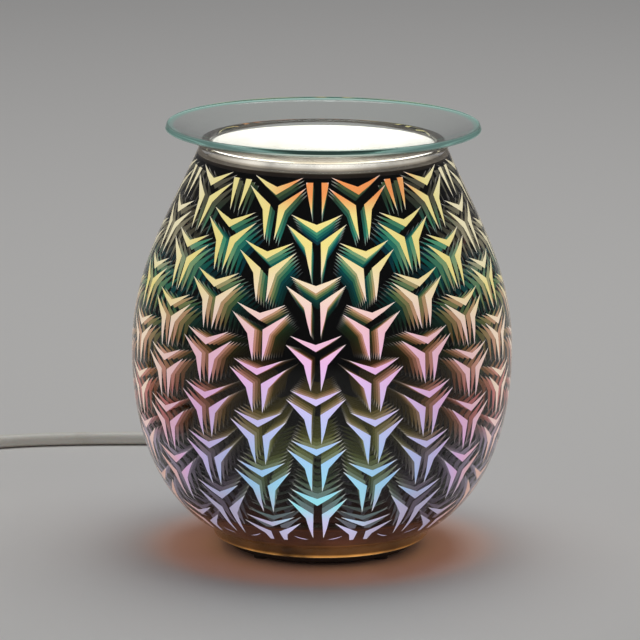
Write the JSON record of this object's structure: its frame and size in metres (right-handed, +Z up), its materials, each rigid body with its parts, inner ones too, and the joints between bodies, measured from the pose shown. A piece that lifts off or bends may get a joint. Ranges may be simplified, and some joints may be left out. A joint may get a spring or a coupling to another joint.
{
  "type": "electric oil burner",
  "caption": "Egg-shaped glass oil burner with a lift-off glass dish on its mouth, a twist-lock reflector lamp inside, and a mains cord with an in-line rocker switch and a fused plug.",
  "frame": {"origin": "middle of the circle that the rubber feet stand on, at the height of the surface under them", "axes": "+Z up along the jar's axis, towards the dish; +Y to the back, where the cord leaves; +X to the right seen from the front"},
  "size_m": [0.313, 0.2141, 0.1498],
  "materials": {
    "jar_glass": "smoked mirror-lined glass, glossy",
    "dish_glass": "clear glass with a faint green edge",
    "lamp_glass": "clear glass",
    "black_plastic": "fine moulded texture",
    "white_plastic": "satin moulded plastic",
    "cord_sheath": "pale soft sheath",
    "ceramic": "glazed ceramic",
    "rubber": "matte",
    "silicone": "matte",
    "steel": "zinc plated",
    "brass": "polished",
    "mirror_coat": "polished",
    "brown_wire": "satin",
    "blue_wire": "satin"
  },
  "bodies": {
    "base": {"glass_jar": "jar_glass", "clamp_gasket": "silicone", "clamp_ring": "black_plastic", "base_housing": "black_plastic", "base_cover": "black_plastic", "cover_screw_1": "steel", "cover_screw_2": "steel", "cover_screw_3": "steel", "rubber_foot_1": "rubber", "rubber_foot_2": "rubber", "rubber_foot_3": "rubber", "rubber_foot_4": "rubber", "cord_boot": "white_plastic", "cord_inside": "cord_sheath", "cord_clamp": "white_plastic", "cord_clamp_screw_1": "steel", "cord_clamp_screw_2": "steel", "terminal_block": "white_plastic", "terminal_screw_1": "brass", "terminal_screw_2": "brass", "core_live": "brown_wire", "core_neutral": "blue_wire", "lead_live": "brown_wire", "lead_neutral": "blue_wire", "holder_bracket": "steel", "bracket_screw_1": "steel", "bracket_screw_2": "steel", "lamp_holder": "ceramic", "holder_screw_1": "steel", "holder_screw_2": "steel", "holder_contact_1": "brass", "holder_contact_2": "brass", "switch_lower": "white_plastic", "switch_upper": "white_plastic", "switch_screw_1": "steel", "switch_screw_2": "steel", "switch_contact": "brass", "cord_run": "cord_sheath", "cord_link": "cord_sheath", "cord_tail": "cord_sheath", "cord_coil": "cord_sheath", "coil_tie": "black_plastic", "plug_body": "white_plastic", "plug_pin_earth": "brass", "plug_pin_live": "brass", "plug_pin_neutral": "brass"},
    "dish": {"glass_dish": "dish_glass"},
    "lamp": {"lamp_cap": "ceramic", "lamp_pin_1": "brass", "lamp_pin_2": "brass", "lamp_reflector": "mirror_coat", "lamp_lens": "lamp_glass", "lamp_capsule": "lamp_glass"},
    "rocker": {"switch_rocker": "white_plastic"},
    "fuse_drawer": {"plug_fuse_drawer": "white_plastic", "plug_fuse": "ceramic"}
  },
  "joints": [
    {"name": "dish_lift", "type": "slide", "parent": "base", "child": "dish", "axis": [0, 0, 1], "range_m": [0, 0.05]},
    {"name": "lamp_turn", "type": "hinge", "parent": "base", "child": "lamp", "pos_m": [0, 0, 0.0424], "axis": [0, 0, 1], "range_deg": [0, 30]},
    {"name": "rocker_tilt", "type": "hinge", "parent": "base", "child": "rocker", "pos_m": [-0.1479, 0.059, 0.0134], "axis": [-1, 0, 0], "range_deg": [0, 16]},
    {"name": "fuse_drawer_pull", "type": "slide", "parent": "base", "child": "fuse_drawer", "axis": [0, 0, 1], "range_m": [0, 0.01]}
  ]
}
